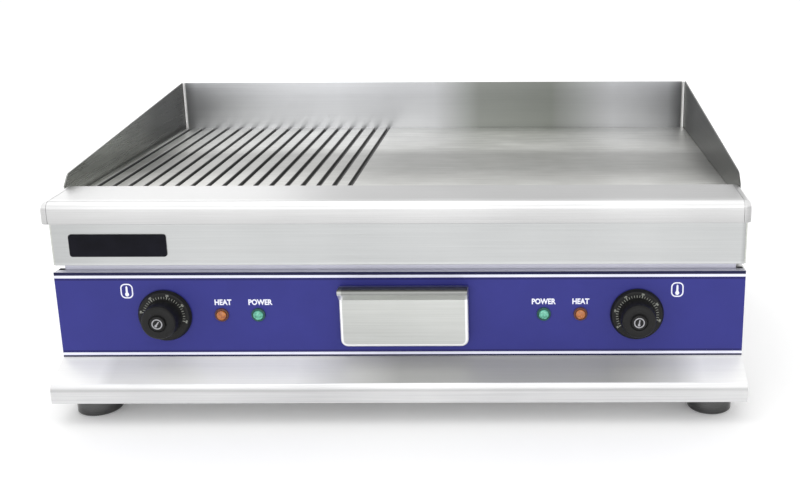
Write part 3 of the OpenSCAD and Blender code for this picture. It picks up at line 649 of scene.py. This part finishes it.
amber = lens_plastic("amber_lens", (0.24, 0.055, 0.008), (0.50, 0.16, 0.016))
green = lens_plastic("green_lens", (0.03, 0.20, 0.13), (0.16, 0.58, 0.42))
rims = {"amber": plain_finish("amber_rim", (0.07, 0.02, 0.012), (0.12, 0.035, 0.02), 300.0, 0.3),
        "green": plain_finish("green_rim", (0.005, 0.05, 0.045), (0.01, 0.09, 0.07), 300.0, 0.3)}
knob_z = sum(corner.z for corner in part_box("dial_left")) / 2
lamp_r, lens_r = 0.0075, 0.0053
for node, hue, glow in (("heat_lamp_left", "amber", amber), ("power_lamp_left", "green", green),
                        ("power_lamp_right", "green", green), ("heat_lamp_right", "amber", amber)):
    low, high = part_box(node)
    cx = (low.x + high.x) / 2
    rim = turned_piece(node + "_flange",
                       [(0, -0.030), (0.0059, -0.030), (0.0059, 0.0), (lamp_r, 0.0),
                        (lamp_r, 0.0009), (lamp_r - 0.0005, 0.0016), (0.0058, 0.0018),
                        (lens_r + 0.0001, 0.0010), (0, 0.0010)],
                       cx, film_y, knob_z, (0, -1, 0), rims[hue], 48)
    jewel = turned_piece(node + "_lens",
                         [(0, 0.0009), (lens_r, 0.0009), (lens_r, 0.0022),
                          (lens_r - 0.0005, 0.0030), (0.0022, 0.0040), (0, 0.0043)],
                         cx, film_y, knob_z, (0, -1, 0), glow, 16)
    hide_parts(node)
    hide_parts(node)
    for piece in (rim, jewel):
        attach(piece, "chassis")

# Printing on the panel: generic words over the lamps and a thermometer mark beside each
# knob, screened in white on the film.
ink_thick, letter_width = 0.00006, 0.86
ink = plain_finish("white_ink", (0.80, 0.81, 0.92), (0.90, 0.91, 1.0), 900.0, 0.4, 0.05)


def printed_word(name, word, height, place, finish):
    """A word screened in a thin film of ink, centred where the place matrix puts it."""
    letters = bpy.data.curves.new(name, "FONT")
    letters.body = word
    letters.align_x, letters.align_y = "CENTER", "CENTER"
    letters.size = height * 1.36
    letters.offset = height * 0.05
    letters.extrude = ink_thick / 2
    letters.resolution_u = 3
    shape = bpy.data.objects.new(name + "_curve", letters)
    bpy.context.scene.collection.objects.link(shape)
    bpy.context.view_layer.update()
    mesh = bpy.data.meshes.new_from_object(
        shape.evaluated_get(bpy.context.evaluated_depsgraph_get()))
    bpy.data.objects.remove(shape)
    bm = bmesh.new()
    bm.from_mesh(mesh)
    bpy.data.meshes.remove(mesh)
    bmesh.ops.remove_doubles(bm, verts=bm.verts, dist=1e-7)
    bmesh.ops.recalc_face_normals(bm, faces=bm.faces)
    upright = (Matrix.Translation((0, -ink_thick / 2, 0)) @ Matrix.Rotation(math.pi / 2, 4, "X")
               @ Matrix.Diagonal((letter_width, 1, 1, 1)))
    bmesh.ops.transform(bm, matrix=place @ upright, verts=bm.verts)
    return finished_piece(bm, name, (finish,))


def printed_mark(name, rings, y, finish, tilt=0.0, centre=(0, 0)):
    """A thin mark made of rings: each is (outer loop, inner loop or None) in x and z."""
    bm = bmesh.new()
    for outer, inner in rings:
        loops = []
        for loop in (outer, inner):
            if loop is None:
                continue
            vs = [bm.verts.new((px, 0, pz)) for px, pz in loop]
            loops.append([bm.edges.new((a, b)) for a, b in zip(vs, vs[1:] + vs[:1])])
        if inner is None:
            bmesh.ops.contextual_create(bm, geom=loops[0])
        else:
            bmesh.ops.bridge_loops(bm, edges=loops[0] + loops[1])
    raised = bmesh.ops.extrude_face_region(bm, geom=bm.faces[:])["geom"]
    bmesh.ops.translate(bm, vec=(0, -ink_thick, 0),
                        verts=[v for v in raised if isinstance(v, bmesh.types.BMVert)])
    bmesh.ops.recalc_face_normals(bm, faces=bm.faces)
    place = Matrix.Translation((centre[0], y, centre[1])) @ Matrix.Rotation(tilt, 4, "Y")
    bmesh.ops.transform(bm, matrix=place, verts=bm.verts)
    return finished_piece(bm, name, (finish,))


def rounded_loop(w, h, r, steps=6):
    """Points round a rectangle with rounded corners."""
    out = []
    for cx, cz, a0 in ((w - r, h - r, 0), (r - w, h - r, 90), (r - w, r - h, 180),
                       (w - r, r - h, 270)):
        for i in range(steps + 1):
            a = math.radians(a0 + 90 * i / steps)
            out.append((cx + r * math.cos(a), cz + r * math.sin(a)))
    return out


def thermometer_loop(k):
    """The outline of a small bulb thermometer, k metres high."""
    pts = [(-0.09 * k, -0.12 * k)]
    for i in range(13):
        a = math.radians(125 + 290 * i / 12)
        pts.append((0.17 * k * math.cos(a), -0.30 * k + 0.19 * k * math.sin(a)))
    pts += [(0.09 * k, -0.12 * k), (0.075 * k, 0.36 * k), (0.0, 0.46 * k), (-0.075 * k, 0.36 * k)]
    return pts


for side, sx in (("left", -1), ("right", 1)):
    for word, at in (("HEAT", 0.190), ("POWER", 0.1505)):
        above_lamp = Matrix.Translation((sx * at + 0.001, film_y, knob_z + 0.0138))
        label = printed_word("word_" + word.lower() + "_" + side, word, 0.0062, above_lamp, ink)
        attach(label, "chassis")
    mark = printed_mark("thermometer_mark_" + side,
                        [(rounded_loop(0.0066, 0.0082, 0.0052),
                          rounded_loop(0.0053, 0.0069, 0.0040)),
                         (thermometer_loop(0.0125), None)],
                        film_y, ink, 0.0, (sx * 0.2915 + 0.0018, knob_z + 0.0270))
    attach(mark, "chassis")

# Knobs: moulded black grips on a dial with a printed temperature scale, pressed on the
# thermostat's shaft, with a small cap in the nose that carries the thermometer mark.
knob_black = plain_finish("knob_black", (0.005, 0.005, 0.005), (0.010, 0.010, 0.010), 1500.0,
                          0.42, 0.25)
knob_black.node_tree.nodes["Principled BSDF"].inputs["Specular IOR Level"].default_value = 0.25
scale_ink = plain_finish("scale_ink", (0.24, 0.25, 0.22), (0.42, 0.43, 0.38), 400.0, 0.5, 0.05)
cap_ink = plain_finish("cap_ink", (0.30, 0.30, 0.32), (0.42, 0.42, 0.44), 400.0, 0.4, 0.05)
scale_start, number_r, tick_in = 212, 0.0243, 0.0202
tick_out, tick_half = 0.0228, 0.00026
long_out, long_half = 0.0232, 0.00040


def printed_scale(name, x, face_out, first):
    """Ticks every seven and a half degrees clockwise round the dial's face."""
    bm = bmesh.new()
    for i in range(31):
        a = math.radians(first - 7.5 * i)
        r0, (r1, w) = tick_in, (tick_out, tick_half) if i % 6 else (long_out, long_half)
        r = (r0 + r1) / 2
        place = Matrix.Translation((x + r * math.cos(a), film_y - face_out - ink_thick / 2,
                                    knob_z + r * math.sin(a)))
        bmesh.ops.create_cube(bm, size=1.0, matrix=place @ Matrix.Rotation(-a, 4, "Y")
                              @ Matrix.Diagonal((r1 - r0, ink_thick, 2 * w, 1)))
    return finished_piece(bm, name, (scale_ink,))


for side in ("left", "right"):
    low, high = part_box("dial_" + side)
    cx = (low.x + high.x) / 2
    rim = (high.x - low.x) / 2
    out = film_y - low.y
    knob_low, knob_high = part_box("knob_" + side)
    grip_r = (knob_high.x - knob_low.x) / 2
    nose = film_y - knob_low.y
    body = "knob_assembly_" + side
    dial = turned_piece("dial_plate_" + side,
                        [(0.0031, 0.001), (rim - 0.0005, 0.001), (rim, 0.0014), (rim, 0.0022),
                         (rim - 0.0006, 0.0031), (rim - 0.0018, out - 0.0005),
                         (rim - 0.0026, out - 0.0001), (rim - 0.0032, out),
                         (grip_r - 0.002, out), (0.0031, out)],
                        cx, film_y, knob_z, (0, -1, 0), knob_black, 96)
    grip = turned_piece("knob_grip_" + side,
                        [(0.0, out - 0.0002), (grip_r, out - 0.0002), (grip_r, out + 0.0008),
                         (grip_r - 0.0006, out + 0.0016), (grip_r - 0.0008, out + 0.0030),
                         (0.0185, nose - 0.0040), (0.0182, nose - 0.0026),
                         (0.0175, nose - 0.0013), (0.0165, nose - 0.0005),
                         (0.0150, nose - 0.0001), (0.0140, nose), (0.0100, nose),
                         (0.0094, nose - 0.0003), (0.0090, nose - 0.0011), (0, nose - 0.0011)],
                        cx, film_y, knob_z, (0, -1, 0), knob_black, 96)
    top = film_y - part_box("knob_cap_" + side)[0].y
    cap = turned_piece("knob_cap_disc_" + side,
                       [(0, nose - 0.0012), (0.0082, nose - 0.0012), (0.0084, nose - 0.0004),
                        (0.0082, top - 0.0009), (0.0076, top - 0.0002), (0.0070, top), (0, top)],
                       cx, film_y, knob_z, (0, -1, 0), knob_black, 64)
    for piece, node in ((dial, "dial_"), (grip, "knob_"), (cap, "knob_cap_")):
        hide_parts(node + side)
        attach(piece, body)
    ticks = printed_scale("scale_ticks_" + side, cx, out, scale_start)
    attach(ticks, body)
    for i, number in enumerate(("50", "100", "150", "200", "250", "300")):
        a = math.radians(scale_start - 45 * i)
        round_dial = (Matrix.Translation((cx + number_r * math.cos(a), film_y - out,
                                          knob_z + number_r * math.sin(a)))
                      @ Matrix.Rotation(math.pi / 2 - a, 4, "Y"))
        digits = printed_word("scale_" + number + "_" + side, number, 0.0019, round_dial,
                              scale_ink)
        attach(digits, body)
    ring = [(0.0056 * math.cos(math.radians(7.5 * i)), 0.0056 * math.sin(math.radians(7.5 * i)))
            for i in range(48)]
    inner = [(0.8 * px, 0.8 * pz) for px, pz in ring]
    mark = printed_mark("cap_mark_" + side, [(ring, inner), (thermometer_loop(0.0078), None)],
                        film_y - top, cap_ink,
                        math.radians(35 if side == "left" else 8), (cx, knob_z))
    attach(mark, body)

# Grease drawer: a pressed front with rounded edges and a folded finger bead along its top,
# spot welded to the tray that slides on the runners.
drawer_steel = steel_sheet("drawer_steel", (0.48, 0.49, 0.47), (0.62, 0.63, 0.61), along_x,
                           0.32, 0.1, 0.12)
# Painted highlight: the rolled edges round the drawer front get a near-white finish in place of the
# light they catch.
rolled_edge_highlight = steel_sheet("rolled_edge_highlight", (0.92, 0.92, 0.94), (1.0, 1.0, 1.0), along_x, 0.22,
                           metal=0.4)
bead_steel = steel_sheet("bead_steel", (0.50, 0.51, 0.49), (0.62, 0.63, 0.61), along_x, 0.32)
# Painted light on the finger bead: bright on its lower part, grey across the middle and dark along
# its top.
painted_light_along(bead_steel, "Z", [(0.129, 1.25), (0.1372, 1.25), (0.1388, 0.52), (0.1412, 0.50),
                               (0.1424, 0.22), (0.144, 0.18)])
# A painted highlight on the bead's left end.
bead_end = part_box("drawer_handle")[0].x
painted_light_along(bead_steel, "X", [(bead_end, 1.7), (bead_end + 0.0045, 1.6), (bead_end + 0.0052, 1.0),
                               (bead_end + 0.01, 1.0)])
low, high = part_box("drawer_front")
roll, rim_deep, sheet_thick = 0.0032, 0.009, 0.0015
bm = bmesh.new()
corners = [bm.verts.new((x, low.y + rim_deep, z)) for x, z in ((low.x, low.z), (high.x, low.z),
                                                               (high.x, high.z), (low.x, high.z))]
rear = bm.faces.new(corners)
bmesh.ops.bevel(bm, geom=corners[:2], offset=0.008, offset_type="OFFSET", segments=8, profile=0.5,
                affect="VERTICES", clamp_overlap=True, material=-1)
rear = bm.faces[:][0]
grown = bmesh.ops.extrude_face_region(bm, geom=[rear])["geom"]
bmesh.ops.translate(bm, vec=(0, roll - rim_deep, 0),
                    verts=[v for v in grown if isinstance(v, bmesh.types.BMVert)])
bmesh.ops.recalc_face_normals(bm, faces=bm.faces)
pressing = [f for f in grown if isinstance(f, bmesh.types.BMFace)][0]
rear = [f for f in bm.faces if f.normal.y > 0.9][0]
for i in range(6):
    before, after = math.radians(15 * i), math.radians(15 * (i + 1))
    rolled = bmesh.ops.inset_region(bm, faces=[pressing], use_boundary=True, use_even_offset=True,
                                    thickness=roll * (math.cos(before) - math.cos(after)),
                                    depth=roll * (math.sin(after) - math.sin(before)))
    # The rolled faces take the painted highlight finish.
    for f in rolled["faces"]:
        f.material_index = 1
for inset, sunk in ((sheet_thick, 0.0), (0.0003, rim_deep - 0.0032), (0.0016, 0.0016)):
    bmesh.ops.inset_region(bm, faces=[rear], use_boundary=True, use_even_offset=True,
                           thickness=inset, depth=-sunk)
bmesh.ops.recalc_face_normals(bm, faces=bm.faces)
drawer = finished_piece(bm, "drawer_front_pressed", (drawer_steel, rolled_edge_highlight), 32)
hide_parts("drawer_front")
bead = dressed_copy("drawer_handle", "drawer_bead", 0.0008, bead_steel, 3, 20.0)
pan = dressed_copy("drawer_tray", "drawer_pan", 0.0003, inner_steel)
for piece in (drawer, bead, pan):
    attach(piece, "grease_drawer")

# Outside fittings: screws through the tray's edge, and a nylon cable gland and a bonding
# stud at the rear.
nylon = plain_finish("gland_nylon", (0.018, 0.018, 0.018), (0.034, 0.034, 0.034), 900.0, 0.5)
repaint(zinc, "panel_screws")
repaint(nylon, "cable_gland", "gland_locknut")

# Studio: a white sweep under the object, one wide overhead softbox and two large fills,
# and the camera a little right of the middle, looking down at the deck.
floor_paint = bpy.data.materials.new("floor_paint")
floor_paint.use_nodes = True
floor_skin = floor_paint.node_tree.nodes["Principled BSDF"]
floor_skin.inputs["Base Color"].default_value = (0.98, 0.98, 0.98, 1)
floor_skin.inputs["Roughness"].default_value = 0.9
floor_skin.inputs["Emission Color"].default_value = (1, 1, 1, 1)
floor_skin.inputs["Emission Strength"].default_value = 0.06
bm = bmesh.new()
bmesh.ops.create_grid(bm, x_segments=1, y_segments=1, size=6.0)
floor = finished_piece(bm, "studio_floor", (floor_paint,))
floor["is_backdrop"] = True

sky = bpy.data.worlds.new("studio_white")
sky.use_nodes = True
sky.node_tree.nodes["Background"].inputs["Color"].default_value = (1, 1, 1, 1)
sky.node_tree.nodes["Background"].inputs["Strength"].default_value = 1.03
bpy.context.scene.world = sky


def softbox(name, place, target, size, watts):
    lamp = bpy.data.lights.new(name, "AREA")
    lamp.shape = "RECTANGLE"
    lamp.size, lamp.size_y = size
    lamp.energy = watts
    holder = bpy.data.objects.new(name, lamp)
    holder.location = place
    holder.rotation_euler = (Vector(target) - Vector(place)).to_track_quat("-Z", "Y").to_euler()
    holder.visible_camera = False
    bpy.context.scene.collection.objects.link(holder)


softbox("overhead_box", (-0.3, -0.2, 2.0), (0, 0, 0.1), (2.0, 1.4), 6)
softbox("front_fill", (0.1, -2.2, 0.45), (0, 0, 0.15), (2.4, 0.9), 5.5)
softbox("rear_left_box", (-1.5, 2.4, 0.9), (-0.2, 0, 0.2), (1.6, 1.2), 7)
bpy.context.scene.view_settings.view_transform = "Standard"
bpy.context.scene.view_settings.look = "None"

eye_at, look_down, roll_left = (0.134, -1.243, 0.5138), 14.69, 0.16
eye = bpy.data.cameras.new("product_camera")
eye.lens = 46.41
eye.sensor_width = 36.0
eye.shift_x = -0.1583
eye.shift_y = -0.06
holder = bpy.data.objects.new("product_camera", eye)
holder.matrix_world = (Matrix.Translation(eye_at)
                       @ Matrix.Rotation(math.radians(90 - look_down), 4, "X")
                       @ Matrix.Rotation(math.radians(-roll_left), 4, "Z"))
bpy.context.scene.collection.objects.link(holder)
bpy.context.scene.camera = holder

low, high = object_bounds()
